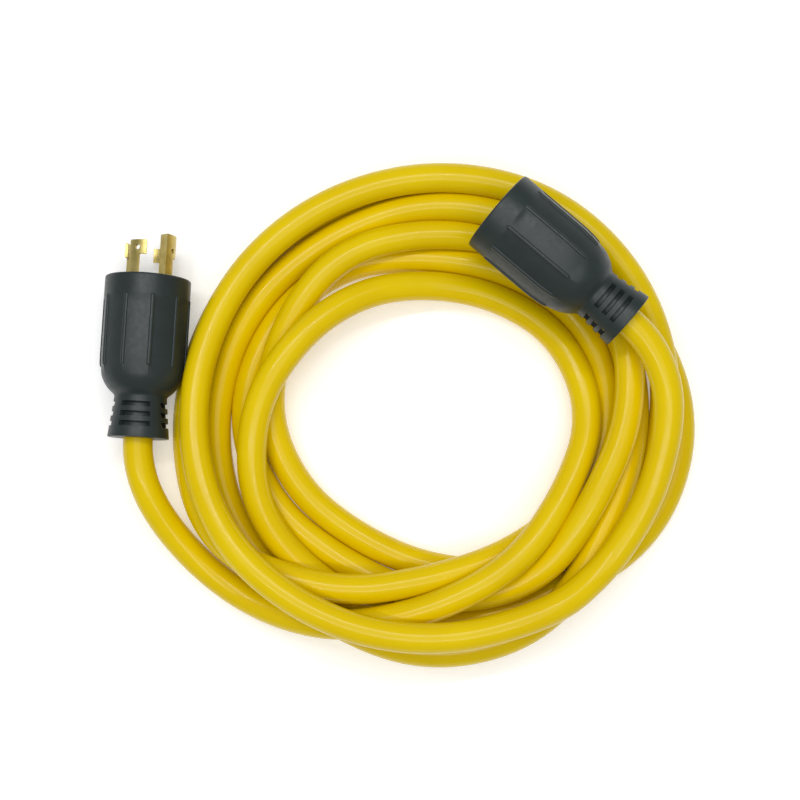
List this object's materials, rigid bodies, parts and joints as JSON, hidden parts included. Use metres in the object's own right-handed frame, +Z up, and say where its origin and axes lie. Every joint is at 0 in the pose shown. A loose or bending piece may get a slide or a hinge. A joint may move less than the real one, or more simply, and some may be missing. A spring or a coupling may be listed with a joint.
{
  "type": "shore power cord",
  "caption": "Coiled four-wire 30 A power cord with a moulded locking plug and a matching moulded locking connector.",
  "frame": {"origin": "centre of the coil, on the surface that it lies on", "axes": "+Z up; +X across the coil from the plug's side to the connector lead's side; +Y the way the plug's blades point, within 3 degrees"},
  "size_m": [0.3537, 0.2975, 0.086],
  "materials": {
    "overmould": "moulded dark slate grey flexible PVC, satin",
    "insert": "rigid black nylon, matt",
    "brass": "plain stamped brass",
    "jacket": "smooth yellow thermoplastic jacket, semi-gloss",
    "insulation_black": "black wire insulation",
    "insulation_red": "red wire insulation",
    "insulation_white": "white wire insulation",
    "insulation_green": "green wire insulation",
    "copper": "bare copper strand"
  },
  "bodies": {
    "root": {"plug_body": "overmould", "plug_blade_carrier": "insert", "plug_terminal_cover": "insert", "plug_blade_hot_x": "brass", "plug_blade_ground": "brass", "plug_blade_neutral": "brass", "plug_blade_hot_y": "brass", "plug_jacket_end": "jacket", "plug_wire_black": "insulation_black", "plug_conductor_black": "copper", "plug_wire_green": "insulation_green", "plug_conductor_green": "copper", "plug_wire_white": "insulation_white", "plug_conductor_white": "copper", "plug_wire_red": "insulation_red", "plug_conductor_red": "copper", "connector_body": "overmould", "connector_face": "insert", "connector_contact_carrier": "insert", "connector_terminal_cover": "insert", "connector_contact_hot_x": "brass", "connector_contact_ground": "brass", "connector_contact_neutral": "brass", "connector_contact_hot_y": "brass", "connector_jacket_end": "jacket", "connector_wire_black": "insulation_black", "connector_conductor_black": "copper", "connector_wire_green": "insulation_green", "connector_conductor_green": "copper", "connector_wire_white": "insulation_white", "connector_conductor_white": "copper", "connector_wire_red": "insulation_red", "connector_conductor_red": "copper", "cord_coil": "jacket", "plug_lead": "jacket", "connector_lead": "jacket"}
  },
  "joints": []
}
